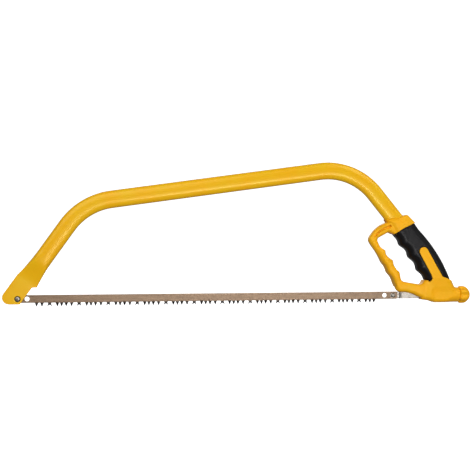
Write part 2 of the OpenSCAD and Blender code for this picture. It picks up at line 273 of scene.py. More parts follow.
def cell_quads(inside, cells):
    """A quad of four cells round each grid edge that crosses the surface."""
    n = [s - 1 for s in inside.shape]
    number = np.full(n, -1)
    number[tuple(cells.T)] = np.arange(len(cells))
    quads = []
    for k in range(3):
        i, j = [m for m in range(3) if m != k]
        lo = np.take(inside, range(n[k]), axis=k)
        hi = np.take(inside, range(1, n[k] + 1), axis=k)
        at = np.argwhere(lo != hi)
        at = at[(at[:, i] > 0) & (at[:, i] < n[i]) & (at[:, j] > 0) & (at[:, j] < n[j])]
        out = lo[tuple(at.T)] != (k == 1)
        ring = []
        for di, dj in ((-1, -1), (0, -1), (0, 0), (-1, 0)):
            c = at.copy()
            c[:, i] += di
            c[:, j] += dj
            ring.append(number[tuple(c.T)])
        q = np.stack(ring, 1)
        quads.append(np.where(out[:, None], q, q[:, ::-1]))
    return np.concatenate(quads)


def surface_net(field, axes):
    """Points and quads of the surface of field over a grid with these three axes."""
    v = field(axes[0][:, None, None], axes[1][None, :, None], axes[2][None, None, :])
    v = np.broadcast_to(v, [len(a) for a in axes])
    cells = crossed_cells(v < 0)
    return cell_points(v, axes, cells), cell_quads(v < 0, cells)


def relax(field, p, quads, rounds=2):
    """Evens out the points' spacing along the surface."""
    for _ in range(rounds):
        total, hits = np.zeros_like(p), np.zeros(len(p))
        for k in range(4):
            for other in (quads[:, (k + 1) % 4], quads[:, k - 1]):
                np.add.at(total, quads[:, k], p[other])
                np.add.at(hits, quads[:, k], 1)
        p = settle(field, p + 0.5 * (total / hits[:, None] - p), 1)
    return p


def grid(lo, hi, pitch):
    """Three even axes over a box, with steps of about pitch, one number or one for each axis."""
    steps = np.broadcast_to(pitch, 3) * FINE
    return [np.linspace(a, b, max(3, int(round((b - a) / s)) + 1)) for a, b, s in zip(lo, hi, steps)]


def add_mesh(name, points, faces, material, normals=None):
    """A smooth mesh object from millimetre points in the saw's frame."""
    mesh = bpy.data.meshes.new(name)
    mesh.from_pydata(to_row(points).tolist(), [], faces.tolist() if hasattr(faces, "tolist") else faces)
    mesh.polygons.foreach_set("use_smooth", [True] * len(mesh.polygons))
    if normals is not None:
        mesh.normals_split_custom_set_from_vertices(normals.tolist())
    mesh.materials.append(material)
    obj = bpy.data.objects.new(name, mesh)
    bpy.context.scene.collection.objects.link(obj)
    return obj


def sculpt(name, field, axes, material, shift=(0, 0, 0), warp=None):
    """A mesh of a field's surface. shift moves it, and warp(points, normals) bends it."""
    p, quads = surface_net(field, axes)
    p = relax(field, settle(field, p, 2), quads)
    p = settle(field, p, 1)
    normals = slope(field, p)
    if warp:
        p, normals = warp(p, normals)
    normals /= np.maximum(np.linalg.norm(normals, axis=1), 1e-9)[:, None]
    return add_mesh(name, p + np.array(shift, float), quads, material, normals)


def install(obj, body, slot, *nodes):
    """Makes obj ride on a body and stand for CAD nodes, which it hides. slot is not used."""
    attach(obj, body)
    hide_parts(*nodes)


HANDLE = (PIN_SPAN, 0, 0)


# ---- materials ----

def linear(r, g, b):
    """A colour given in the 0 to 255 scale of a display."""
    return tuple((c / 255 / 12.92) if c <= 10 else ((c / 255 + 0.055) / 1.055) ** 2.4
                 for c in (r, g, b)) + (1.0,)


class Shader:
    """A material with a Principled shader and short ways to add nodes to it."""

    def __init__(self, name, **values):
        self.material = bpy.data.materials.new(name)
        self.material.use_nodes = True
        self.tree = self.material.node_tree
        self.bsdf = next(n for n in self.tree.nodes if n.type == "BSDF_PRINCIPLED")
        for key, value in values.items():
            self.bsdf.inputs[key.replace("_", " ")].default_value = value
        self.place = self.node("ShaderNodeTexCoord").outputs["Object"]

    def node(self, kind, **inputs):
        made = self.tree.nodes.new(kind)
        for key, value in inputs.items():
            self.feed(made.inputs[key.replace("_", " ")], value)
        return made

    def feed(self, socket, value):
        if isinstance(value, bpy.types.NodeSocket):
            self.tree.links.new(value, socket)
        else:
            socket.default_value = value

    def stretched(self, x, y, z):
        made = self.node("ShaderNodeMapping", Vector=self.place)
        made.inputs["Scale"].default_value = (x, y, z)
        return made.outputs["Vector"]

    def noise(self, size, detail=2.0, rough=0.5, vector=None):
        """Noise whose features are about size millimetres across."""
        made = self.node("ShaderNodeTexNoise", Vector=vector or self.place, Scale=1 / (size * MM),
                         Detail=detail, Roughness=rough)
        return made.outputs["Fac"]

    def cells(self, size, vector=None):
        made = self.node("ShaderNodeTexVoronoi", Vector=vector or self.place, Scale=1 / (size * MM))
        return made.outputs["Distance"]

    def ramp(self, value, low, high, out_low, out_high):
        """value from low to high, mapped to the range out_low to out_high."""
        made = self.tree.nodes.new("ShaderNodeMapRange")
        for key, v in zip(("Value", "From Min", "From Max", "To Min", "To Max"),
                          (value, low, high, out_low, out_high)):
            self.feed(made.inputs[key], v)
        return made.outputs["Result"]

    def hypot(self, a, b):
        return self.maths("SQRT", self.maths("ADD", self.maths("MULTIPLY", a, a),
                                             self.maths("MULTIPLY", b, b)))

    def maths(self, how, a, b=0.0):
        made = self.tree.nodes.new("ShaderNodeMath")
        made.operation = how
        self.feed(made.inputs[0], a)
        self.feed(made.inputs[1], b)
        return made.outputs[0]

    def mix(self, share, a, b):
        made = self.tree.nodes.new("ShaderNodeMix")
        made.data_type = "RGBA"
        self.feed(made.inputs["Factor"], share)
        self.feed(made.inputs[6], a)
        self.feed(made.inputs[7], b)
        return made.outputs[2]

    def axis(self, which):
        split = self.node("ShaderNodeSeparateXYZ", Vector=self.place)
        return split.outputs[which]

    def colour(self, value):
        self.feed(self.bsdf.inputs["Base Color"], value)

    def rough(self, value):
        self.feed(self.bsdf.inputs["Roughness"], value)

    def bumps(self, *layers):
        """Bump layers of (height, distance in millimetres)."""
        normal = None
        for height, distance in layers:
            made = self.node("ShaderNodeBump", Height=height, Distance=distance * MM)
            if normal:
                self.feed(made.inputs["Normal"], normal)
            normal = made.outputs["Normal"]
        self.feed(self.bsdf.inputs["Normal"], normal)


def frame_paint():
    s = Shader("frame_paint", Specular_IOR_Level=0.5, Specular_Tint=(1, 0.92, 0.4, 1))
    cloud = s.noise(38, 3)
    paint = s.mix(s.ramp(cloud, 0.35, 0.65, 0, 1), linear(232, 170, 8), linear(228, 177, 12))
    # painted shade: the ring round the front screw's recess is coloured dark, standing for the shade in
    # the gap round its head
    pin = to_row((FRONT_PIN[0], 0, 0))
    across = s.hypot(s.maths("SUBTRACT", s.axis("X"), pin[0]),
                     s.maths("SUBTRACT", s.axis("Z"), pin[2]))
    s.colour(s.mix(s.ramp(across, 4.5 * MM, 4.9 * MM, 1, 0), paint, linear(26, 23, 18)))
    s.rough(s.ramp(s.noise(6, 4), 0.3, 0.7, 0.235, 0.265))
    s.bumps((s.noise(1.7, 2), 0.003), (s.noise(0.5, 1), 0.001))
    return s.material


def handle_plastic():
    s = Shader("handle_plastic", Specular_IOR_Level=0.45, Specular_Tint=(1, 0.85, 0.35, 1))
    flow = s.noise(16, 4, 0.6)
    s.colour(s.mix(s.ramp(flow, 0.3, 0.7, 0, 1), linear(242, 168, 8), linear(236, 172, 12)))
    s.rough(s.ramp(s.noise(3, 3), 0.3, 0.7, 0.36, 0.46))
    # the line where the two halves of the mould met
    y = s.maths("ABSOLUTE", s.axis("Y"))
    seam = s.ramp(y, 0.0, 0.22 * MM, 1, 0)
    s.bumps((s.cells(0.55), 0.02), (s.noise(2.4, 2), 0.02), (seam, 0.12))
    return s.material


def grip_rubber():
    s = Shader("grip_rubber", Specular_IOR_Level=0.2)
    s.colour(s.mix(s.ramp(s.noise(9, 4), 0.35, 0.7, 0, 1), linear(10, 9, 11), linear(17, 15, 18)))
    s.rough(s.ramp(s.noise(2, 3), 0.3, 0.7, 0.30, 0.40))
    s.bumps((s.cells(0.7), 0.04), (s.noise(0.3, 2), 0.01))
    return s.material


def blade_steel():
    s = Shader("blade_steel", Metallic=0.6, Coat_Weight=0.1, Coat_Roughness=0.3)
    root = DATUM[2] - BLADE_H / 2 * MM
    grain = s.ramp(s.noise(0.9, 4, 0.7), 0.3, 0.7, 0, 1)
    streak = s.noise(2.0, 3, 0.6, s.stretched(0.06, 1, 1))
    tan = s.mix(grain, linear(100, 79, 60), linear(146, 121, 96))
    tan = s.mix(s.ramp(streak, 0.4, 0.75, 0, 0.5), tan, linear(90, 71, 55))
    # the hardened teeth are blue-black, with a straw line above them
    depth = s.maths("SUBTRACT", s.axis("Z"), s.maths("MULTIPLY", s.noise(1.2, 2), 0.5 * MM))
    straw = s.mix(s.ramp(depth, root + 0.9 * MM, root + 0.1 * MM, 0, 0.6), tan, linear(84, 64, 52))
    s.colour(s.mix(s.ramp(depth, root + 0.1 * MM, root - 0.9 * MM, 0, 1), straw, linear(16, 16, 19)))
    s.rough(s.ramp(grain, 0, 1, 0.34, 0.46))
    s.bumps((streak, 0.02), (s.noise(0.35, 2), 0.008))
    return s.material


def bright_zinc(name="bright_zinc", shade_line_x=None):
    """Zinc plate. The second argument, if given, is the X, in mm, of a dark line of painted shade where
    the plate steps at a bend.
    """
    s = Shader(name, Metallic=1.0)
    zinc = s.mix(s.noise(5, 4), linear(150, 144, 136), linear(130, 124, 117))
    if shade_line_x:
        # painted shade: a dark line across the bar where its step lies in shade
        away = s.maths("ABSOLUTE", s.maths("SUBTRACT", s.axis("X"), to_row((shade_line_x, 0, 0))[0]))
        zinc = s.mix(s.ramp(away, 0.3 * MM, 1.5 * MM, 0.6, 0), zinc, linear(40, 42, 40))
    s.colour(zinc)
    s.rough(s.ramp(s.noise(1.5, 4, 0.7), 0.3, 0.7, 0.24, 0.42))
    s.bumps((s.noise(0.8, 3, 0.6, s.stretched(0.15, 1, 1)), 0.012), (s.noise(4, 2), 0.03))
    return s.material


def turned_steel():
    s = Shader("turned_steel", Metallic=1.0)
    s.colour(s.mix(s.noise(1.5, 4), linear(126, 122, 116), linear(92, 89, 85)))
    s.rough(s.ramp(s.noise(0.8, 3), 0.3, 0.7, 0.22, 0.36))
    s.bumps((s.noise(0.3, 3), 0.01),)
    return s.material


def black_steel():
    s = Shader("black_steel", Metallic=0.85)
    s.colour(s.mix(s.noise(1.2, 4), linear(52, 51, 52), linear(34, 34, 36)))
    s.rough(s.ramp(s.noise(0.9, 3), 0.3, 0.7, 0.30, 0.46))
    s.bumps((s.noise(0.4, 3), 0.015),)
    return s.material


def turned_brass():
    s = Shader("turned_brass", Metallic=1.0)
    s.colour(s.mix(s.noise(2, 4), linear(222, 184, 104), linear(196, 154, 78)))
    s.rough(s.ramp(s.noise(0.9, 3), 0.3, 0.7, 0.22, 0.36))
    s.bumps((s.noise(0.6, 3, 0.6, s.stretched(1, 0.2, 0.2)), 0.01),)
    return s.material


# ---- frame tube ----

FRONT_CORNER = np.array([FRONT_FOOT + FRONT_H / math.tan(FRONT_ANGLE), FRONT_H])
REAR_CORNER = np.array([REAR_FOOT - REAR_H / math.tan(REAR_ANGLE), REAR_H])
LIMB_ANGLE = math.atan2(*(REAR_CORNER - FRONT_CORNER)[::-1])


def tube_runs():
    """The centre line's runs, each (length, start, heading, turn to the right per mm)."""
    turns = [FRONT_ANGLE - LIMB_ANGLE, REAR_ANGLE + LIMB_ANGLE]
    cuts = [BEND_R * math.tan(t / 2) for t in turns]
    foot = np.array([FRONT_FOOT, 0])
    end = np.array([REAR_FOOT - TUBE_END_H / math.tan(REAR_ANGLE), TUBE_END_H])
    heads = [FRONT_ANGLE, LIMB_ANGLE, -REAR_ANGLE]
    way = [np.array([math.cos(a), math.sin(a)]) for a in heads]
    lengths = [np.hypot(*(FRONT_CORNER - foot)) - cuts[0],
               np.hypot(*(REAR_CORNER - FRONT_CORNER)) - sum(cuts),
               np.hypot(*(end - REAR_CORNER)) - cuts[1]]
    return [(lengths[0], foot, heads[0], 0),
            (BEND_R * turns[0], FRONT_CORNER - cuts[0] * way[0], heads[0], 1 / BEND_R),
            (lengths[1], FRONT_CORNER + cuts[0] * way[1], heads[1], 0),
            (BEND_R * turns[1], REAR_CORNER - cuts[1] * way[1], heads[1], 1 / BEND_R),
            (lengths[2], REAR_CORNER + cuts[1] * way[2], heads[2], 0)]


RUNS = tube_runs()
STARTS = np.concatenate([[0], np.cumsum([r[0] for r in RUNS])])


def tube_place(s, t):
    """X, Z and heading of the point s along the tube and t to the inside of the bow."""
    x, z, head = (np.zeros(len(s)) for _ in range(3))
    for i, (_, start, angle, bend) in enumerate(RUNS):
        here = (s >= STARTS[i] if i else s > -1e9) & ((s < STARTS[i + 1]) | (i == len(RUNS) - 1))
        u = s[here] - STARTS[i]
        a = angle - bend * u
        if bend:
            cx, cz = start[0] + math.sin(angle) / bend, start[1] - math.cos(angle) / bend
            px, pz = cx - np.sin(a) / bend, cz + np.cos(a) / bend
        else:
            px, pz = start[0] + u * math.cos(angle), start[1] + u * math.sin(angle)
        x[here], z[here] = px + t[here] * np.sin(a), pz - t[here] * np.cos(a)
        head[here] = a
    return x, z, head


def bend_tube(p, normals):
    """Bends points (along, inward, through) of the straight tube onto its centre line."""
    x, z, head = tube_place(p[:, 0], p[:, 1])
    curved = sum(((p[:, 0] > STARTS[i]) & (p[:, 0] < STARTS[i + 1])) * RUNS[i][3] for i in (1, 3))
    gs = normals[:, 0] / (1 - curved * p[:, 1])
    gx = gs * np.cos(head) + normals[:, 1] * np.sin(head)
    gz = gs * np.sin(head) - normals[:, 1] * np.cos(head)
    return np.stack([x, p[:, 2], z], 1), np.stack([gx, normals[:, 2], gz], 1)


def to_leg(x, z):
    """The place along the front leg and to its inside of a point of the saw's plane."""
    dx, c, s = x - FRONT_FOOT, math.cos(FRONT_ANGLE), math.sin(FRONT_ANGLE)
    return dx * c + z * s, dx * s - z * c


def leg_at(t, z):
    return (z + t * math.cos(FRONT_ANGLE)) / math.sin(FRONT_ANGLE), t


def oval(t, y, w, thick):
    """The distance from a flat oval, w wide and thick."""
    return np.hypot(np.maximum(np.abs(t) - (w - thick) / 2, 0), y) - thick / 2


def crown(t, y, thick, r):
    """The distance from two faces thick apart at the middle and crowned with radius r."""
    return np.hypot(t, np.abs(y) + r - thick / 2) - r


def make_tube(material):
    edge, floor, step = NOSE_W / 2 + 0.2, -8.2, 17.4
    cut_edge, tip_r = 11.7, 10.7
    end = STARTS[-1]
    trim = outline(rounded([
        (end, -2 * edge), leg_at(-2 * edge, 300), leg_at(-edge, 100),
        (*leg_at(-edge, floor), tip_r), (*leg_at(cut_edge, floor), 1.2),
        (*leg_at(cut_edge, step), 4), to_leg(90, step), (end, 2 * edge)]))
    pin = to_leg(*FRONT_PIN)

    def field(s, t, y):
        k = np.clip((FULL_S - s) / (FULL_S - FLAT_S), 0, 1)
        w = TUBE_W + (NOSE_W - TUBE_W) * k ** 2.2
        thick = TUBE_T + (NOSE_T + 3 - TUBE_T) * k ** 3
        press = TUBE_T / 2 + 1.5 - (TUBE_T / 2 + 1.5 - NOSE_T / 2) * np.sin(k * math.pi / 2) ** 2
        outer = meet(oval(t, y, w, thick), crown(t, y, thick, CROWN_R * (1 + 40 * k ** 2)), 1)
        outer = meet(outer, np.abs(y) - press, 1.2)
        shell = cut(outer, outer + WALL, 0.3)
        r = np.hypot(s - pin[0], t - pin[1])
        dish = np.abs(y + NOSE_T / 2) - DISH_DEPTH * smoothstep((DISH_R + 0.1 - r) / 1.4) + 0.02
        shell = meet(shell, trim(s, t), 0.5)
        shell = cut(shell, r - PIN_D / 2 - 0.05, 0.2)
        near = cut(shell, np.maximum(dish, r - DISH_R), 0.5)
        return meet(np.where(y < 0, near, shell), np.maximum(s - end, -40 - s), 0.4)

    bends = [np.arange(STARTS[i], STARTS[i + 1], 3.2 * FINE) for i in (1, 3)]
    s_axis = np.concatenate([
        np.arange(-18, 40, 0.55 * FINE), np.arange(40, 92, 1.1 * FINE),
        np.arange(92, STARTS[1], 5 * FINE), bends[0],
        np.arange(STARTS[2], STARTS[3], 12 * FINE), bends[1],
        np.arange(STARTS[4], end - 3, 9 * FINE), np.arange(end - 3, end + 1.6, 0.8)])
    t_axis = np.linspace(-19, 19, int(54 / FINE) + 1)
    y_axis = np.linspace(-8.6, 8.6, int(43 / FINE) + 1)
    return sculpt("frame_tube_painted", field, [s_axis, t_axis, y_axis], material, warp=bend_tube)


# ---- handle ----

GRIP_TOP, SHOULDER = (0.8, 98.7), (36.0, 117.3)
RIDGES = [(11.1, 81.8), (25.9, 62.9), (39.9, 41.8)]
GRIP_FOOT = (53.5, 25.0)
BACK_TOP, BACK_FOOT, HEEL = (42.5, 107.0), (94.3, 30.2), (98.5, 24.4)
GUARD_RIDGES = [(-12.9, 72.5), (0.1, 56.0), (13.0, 36.5)]
GUARD_OUTER = [(-36.4, 81.0), (-19.1, 53.6), (-8.8, 36.1), (1.8, 18.7)]

# The grip's sides run past its ends, so that only its long edges are rounded
grip_side = outline(
    [(-14, 123), GRIP_TOP] + hollow(GRIP_TOP, RIDGES[0], 1.9, 0.6)
    + hollow(RIDGES[0], RIDGES[1], 3.8, 0.6) + hollow(RIDGES[1], RIDGES[2], 3.8, 0.62)
    + hollow(RIDGES[2], GRIP_FOOT, 2.2, 0.65)
    + [GRIP_FOOT, (60, 5), (104, 5), (103, 12.5)]
    + bow(BACK_FOOT, BACK_TOP, -4.4) + [BACK_TOP, (24, 133)])
# What is black: the top edge, the back lobe, the window of the spine and the finger lobe
black_area = outline(
    bow(SHOULDER, GRIP_TOP, -2) + [GRIP_TOP, (-30, 84), (30, 10), (50, 22)]
    + bow((52.5, 24.5), (58.6, 20.2), 1.8)
    + corner((58.6, 20.2), (63.6, 26.5), (61.8, 32), 3) + [(61.2, 33)]
    + corner((62, 31.4), (36, 78.3), (53, 78.3), 7) + corner((36, 78.3), (53, 78.3), (80, 31.8), 7)
    + corner((53, 78.3), (80.6, 30.4), (98, 24.2), 1.6) + [(99.5, 23.6), (130, 30), (60, 130)])

guard_area = outline(
    corner((-36.4, 81), (-42.4, 90.5), (-34, 103), 9)
    + bow((-36.2, 99.6), (-9, 118.2), 3.2) + [(-9, 118.2), (3, 112), (3, 101)]
    + corner((3, 101), (-9, 102.2), (-27, 93), 8)
    + corner((-9, 102.2), (-27.5, 91.5), (-23, 82), 5)
    + hollow((-23, 81), GUARD_RIDGES[0], -0.9, 0.4)
    + hollow(GUARD_RIDGES[0], GUARD_RIDGES[1], -3.7, 0.34)
    + hollow(GUARD_RIDGES[1], GUARD_RIDGES[2], -3.7, 0.34)
    + corner(GUARD_RIDGES[2], (13.5, 23), (40, 17.8), 7)
    + corner((13.5, 23), (50, 16.5), (54, 26), 4)
    + [(54, 26), (66, 26), (66, -8), (48, -6), (48, -4)]
    + bow((48, -4), (33, 2.6), 0.8)
    + corner((33, 2.6), (20, 5.3), (11, 5.1), 8) + corner((20, 5.3), (7.8, 4.9), (1.8, 18.7), 9)
    + hollow(GUARD_OUTER[3], GUARD_OUTER[2], -1.7, 0.55)
    + hollow(GUARD_OUTER[2], GUARD_OUTER[1], -1.5, 0.55)
    + hollow(GUARD_OUTER[1], GUARD_OUTER[0], -0.8, 0.5) + [GUARD_OUTER[0]])

collar_area = outline(
    [(-9.5, 114), (-6.5, 119.8)] + corner((-6.5, 119.8), (22, 131.3), SHOULDER, 4)
    + [SHOULDER, (20, 95), (12, 95), GRIP_TOP, (-5, 101.5)])

block_area = outline(
    [(48, -6.1), (48, 17.5), (53.2, 24.6)] + [(60, 34), (86, 34), (98, 24.6)]
    + corner(HEEL, (104, BOSS_R), (BOSS_X, BOSS_R), 5)
    + [(BOSS_X + 14, BOSS_R), (BOSS_X + 14, -BOSS_R)]
    + corner((104, -BOSS_R), (69, -BOSS_R), (62, -8.7), 6) + [(62, -8.7)])

GROOVE = [(-7.5, 111.6), (-16, 108.6), (-24, 103.4), (-31.5, 95.6)]


def grip_body(x, y, z):
    """The grip with its core. It gets thinner below the grip, down to the block."""
    thick = GRIP_T - 7 * smoothstep((36 - z) / 26)
    return plate(grip_side(x, z), y, thick, GRIP_EDGE)


def guard_thick(x):
    """The guard is thicker where its arms run into the collar and the block."""
    return GUARD_T + 9 * smoothstep((x + 28) / 17) * (x < 4) + 7 * smoothstep((x - 14) / 34)


def groove(x, y, z):
    """Recess along the guard's top arm on both faces, widest and deepest at the collar."""
    depth = np.minimum(np.abs(y) - guard_thick(x) / 2 + 2.4, 0)
    best = np.inf
    for i, (p, q) in enumerate(zip(GROOVE, GROOVE[1:])):
        e = np.subtract(q, p)
        t = np.clip(((x - p[0]) * e[0] + (z - p[1]) * e[1]) / (e @ e), 0, 1)
        here = np.hypot(np.hypot(x - p[0] - e[0] * t, z - p[1] - e[1] * t), depth)
        best = np.minimum(best, here - 2.2 + 0.4 * (i + t))
    return best


def rear_leg(x, z):
    """The distance along and across the rear leg from its foot, in the handle's coordinates."""
    dx, c, s = x - (REAR_FOOT - PIN_SPAN), math.cos(REAR_ANGLE), math.sin(REAR_ANGLE)
    return -dx * c + z * s, dx * s + z * c


def handle_field(x, y, z):
    body = grip_body(x, y, z)
    guard = plate(guard_area(x, z), y, guard_thick(x), GUARD_EDGE)
    collar = plate(collar_area(x, z), y, COLLAR_T, COLLAR_EDGE)
    ends = 6 + (BOSS_R - 6.1) * smoothstep((x - 84) / 20)
    block = meet(plate(block_area(x, z), y, 2 * BOSS_R, ends), x - BOSS_X, 1.6)
    solid = cut(join(join(guard, collar, 2.5), block, 5), groove(x, y, z), 0.8)
    # the black of the grip stands in front of the handle
    black = black_area(x, z)
    solid = cut(solid, np.maximum(black - GAP, grip_side(x, z) - 4), 0.8)
    spine = meet(meet(body, -black, 1.2), np.maximum(x + z - 130, 10 - z), 0.5)
    solid = join(solid, spine, 1.2 + 5 * smoothstep((40 - z) / 14))
    solid = np.minimum(solid, np.maximum(body + SKIN, span(z, 20, 122)))
    # room for the grip, with a fine line round it
    over = meet(meet(body - SKIN, black - GAP, 0.5), -(body + SKIN - 0.1), 0.4)
    solid = cut(solid, over - 0.02, 0.4)
    along, across = rear_leg(x, z)
    mouth = 0.5 * smoothstep((along - 160) / 4)
    socket = meet(oval(across, y, TUBE_W + SOCKET_FIT, TUBE_T + SOCKET_FIT) - mouth,
                  TUBE_END_H / math.sin(REAR_ANGLE) - SOCKET_FIT - along, 0.3)
    slot = np.maximum(np.maximum(np.abs(y) - BAR_T / 2, np.abs(z) - BAR_H / 2) - BAR_FIT, x - 61)
    bore = np.maximum(rod(y, z, ROD_D + 0.1), 54 - x)
    seat = np.maximum(rod(y, z, 2 * SEAT_R), BOSS_X - WASHER_T - x)
    solid = cut(cut(cut(cut(solid, socket, 0.5), slot, 0.4), bore, 0.2), seat, 0.4)
    screw = np.hypot(x - SCREW_X, z - HANDLE_SCREW_H)
    return cut(solid, np.maximum(screw - RECESS_R, COLLAR_T / 2 - RECESS_DEPTH - y), 0.5)


SCREW_X = REAR_FOOT - PIN_SPAN - HANDLE_SCREW_H / math.tan(REAR_ANGLE)


def make_handle(material):
    axes = grid((-43.5, -15.6, -14), (113, 15.6, 133), (0.78, 0.78, 0.78))
    return sculpt("handle_moulding", handle_field, axes, material, HANDLE)


def grip_field(x, y, z):
    body = grip_body(x, y, z)
    ends = meet(body, black_area(x, z) + 0.05, 1.3)
    return cut(ends, body + SKIN + 0.05, 0.3)


def make_grip(material):
    axes = grid((-2, -15.6, 15.5), (104, 15.6, 123), (0.66, 0.66, 0.66))
    return sculpt("grip_overmould", grip_field, axes, material, HANDLE)


# ---- knob ----

def make_knob(material):
    profile = outline(
        [(0, -5), (0, KNOB_R - 3), (1.4, KNOB_R - 0.7), (2.4, KNOB_R), (SKIRT_L - 3, KNOB_R)]
        + [(SKIRT_L - 3 + (KNOB_L - SKIRT_L + 3) * math.sin(a), KNOB_R * math.cos(a))
           for a in np.linspace(0.1, 1.5, 14)] + [(KNOB_L, 0), (KNOB_L, -5)])

    def field(x, y, z):
        r, turn = np.hypot(y, z), np.arctan2(y, z)
        valley = (0.5 - 0.5 * np.cos(LOBES * turn)) ** 1.5
        fade = 1 - smoothstep((x - SKIRT_L) / 8)
        lobes = profile(x, r + 3 * valley * fade)
        bore = np.minimum(np.maximum(r - INSERT_R - 0.05, x - INSERT_L), np.maximum(r - 3.5, x - 15.5))
        return cut(lobes, bore, 0.3)

    axes = grid((-0.9, -14.9, -14.9), (KNOB_L + 0.9, 14.9, 14.9), 0.44)
    return sculpt("knob_moulding", field, axes, material, (PIN_SPAN + KNOB_X, 0, 0))


def make_insert(material):
    def field(x, y, z):
        r, turn = np.hypot(y, z), np.arctan2(y, z)
        waist = 0.5 * smoothstep(1 - np.abs(x - INSERT_L / 2) / 1.2)
        knurl = 0.22 * np.abs(np.sin(turn * 14)) + waist
        thread = 3.05 + 0.3 * np.abs(((x - turn / (2 * math.pi)) % 1) - 0.5)
        body = meet(r - INSERT_R + knurl, span(x, 0.1, INSERT_L - 0.1), 0.8)
        return np.maximum(body, thread - r)

    axes = grid((-0.4, -5.4, -5.4), (10.4, 5.4, 5.4), 0.25)
    return sculpt("knob_insert_brass", field, axes, material, (PIN_SPAN + KNOB_X, 0, 0))


# ---- tensioner ----

def make_draw_bar(material):
    def field(x, y, z):
        shift = (BAR_BACK + BAR_T / 2) * (1 - smoothstep((x - STEP_START) / STEP_L))
        side = np.hypot(np.minimum(x - 0.3, 0), z) - BAR_H / 2
        bar = meet(meet(side, x - 60, 2.0), np.abs(y - shift) - BAR_T / 2, 0.7)
        pitch = (x - np.arctan2(y, z) / (2 * math.pi)) % 1
        thread = 0.55 * np.abs(pitch - 0.5) * smoothstep((x - 88) / 3)
        body = meet(rod(y, z, ROD_D - 0.02) + thread, span(x, 56, ROD_END), 1.0)
        solid = join(bar, body, 2.0)
        return cut(solid, rod(x - PIN_SHIFT, z, PIN_D - 1), 0.2)

    x_axis = np.concatenate([np.arange(-5.8, 90, 0.45 * FINE), np.arange(90, ROD_END + 0.8, 0.22 * FINE)])
    axes = [x_axis, *grid((0, -3.6, -6), (1, 3.6, 6), 0.3)[1:]]
    return sculpt("draw_bar_zinc", field, axes, material, HANDLE)


def make_stud(material):
    def field(x, y, z):
        r = np.hypot(x, z)
        head = meet(np.hypot(r * 0.55, y + 0.55) - 1.9, span(y, -1.8, -0.6), 0.3)
        head = np.maximum(head, r - 3.3)
        shank = np.maximum(r - PIN_D / 2 + 0.02, span(y, -0.7, BAR_BACK))
        tail = np.maximum(r - (PIN_D - 1) / 2 + 0.02, span(y, BAR_BACK - 0.1, BAR_BACK + BAR_T))
        rivet = meet(r - 2.6, span(y, BAR_BACK + BAR_T - 0.01, BAR_BACK + BAR_T + 0.6), 0.8)
        solid = np.minimum(np.minimum(head, shank), np.minimum(tail, rivet))
        return cut(solid, np.hypot(r, y + 2.6) - 1.2, 0.2)

    axes = grid((-3.8, -2.2, -3.8), (3.8, 4.0, 3.8), 0.2)
    return sculpt("rear_stud_turned", field, axes, material, (REAR_PIN[0], 0, 0))


def make_thrust_washer(material):
    def field(x, y, z):
        r = np.hypot(y, z)
        return cut(meet(r - WASHER_R, span(x, BOSS_X - WASHER_T, BOSS_X + 0.1), 0.35), r - 3.5, 0.3)

    out = WASHER_R + 0.4
    axes = grid((BOSS_X - 1.4, -out, -out), (BOSS_X + 0.5, out, out), (0.15, 0.3, 0.3))
    return sculpt("thrust_washer_zinc", field, axes, material, HANDLE)


# ---- front pin ----

def make_screw(material):
    seat = -NOSE_T / 2 + DISH_DEPTH
    tip = NOSE_T / 2 + 1 + 4 + 1

    def field(x, y, z):
        r, turn = np.hypot(x, z), np.arctan2(x, z)
        head = meet(r - 3.7, np.maximum(y - seat, np.hypot(r * 0.4, y + 0.4) - 1.72), 0.4)
        pitch = (y / 0.8 - turn / (2 * math.pi)) % 1
        thread = 0.45 * np.abs(pitch - 0.5) * smoothstep((y - 2.6) / 0.8)
        shank = meet(r - PIN_D / 2 + 0.02 + thread, span(y, seat - 0.2, tip), 0.8)
        u, v = (x + z) / math.sqrt(2), (x - z) / math.sqrt(2)
        slot = np.maximum(np.abs(u) - 0.45, y - seat + 0.35)
        return cut(np.minimum(head, shank), np.maximum(slot, np.abs(v) - 5), 0.15)

    axes = grid((-4.1, -2.5, -4.1), (4.1, tip + 0.5, 4.1), (0.2, 0.16, 0.2))
    return sculpt("front_screw_zinc", field, axes, material, (FRONT_PIN[0], 0, 0))


def make_washer(material):
    def field(x, y, z):
        r = np.hypot(x, z)
        return cut(meet(r - 5, span(y, NOSE_T / 2 + 0.02, NOSE_T / 2 + 1), 0.3), r - 2.55, 0.2)

    axes = grid((-5.5, NOSE_T / 2 - 0.4, -5.5), (5.5, NOSE_T / 2 + 1.4, 5.5), (0.25, 0.14, 0.25))
    return sculpt("front_washer_zinc", field, axes, material, (FRONT_PIN[0], 0, 0))


def make_nut(material):
    y0, y1 = NOSE_T / 2 + 1.02, NOSE_T / 2 + 5

    def field(x, y, z):
        r, turn = np.hypot(x, z), np.arctan2(z, x)
        hexagon = r * np.cos((turn % (math.pi / 3)) - math.pi / 6) - 4
        chamfer = np.maximum((r + (y - y1) * 1.7) * 0.5 - 2.15, (r - (y - y0) * 1.7) * 0.5 - 2.15)
        body = meet(meet(hexagon, span(y, y0, y1), 0.3), chamfer, 0.2)
        return cut(body, r - 2.53 - 0.6 * smoothstep((y - y1 + 0.5) / 0.5), 0.2)

    axes = grid((-5, y0 - 0.4, -5), (5, y1 + 0.4, 5), 0.2)
    return sculpt("front_nut_zinc", field, axes, material, (FRONT_PIN[0], 0, 0))


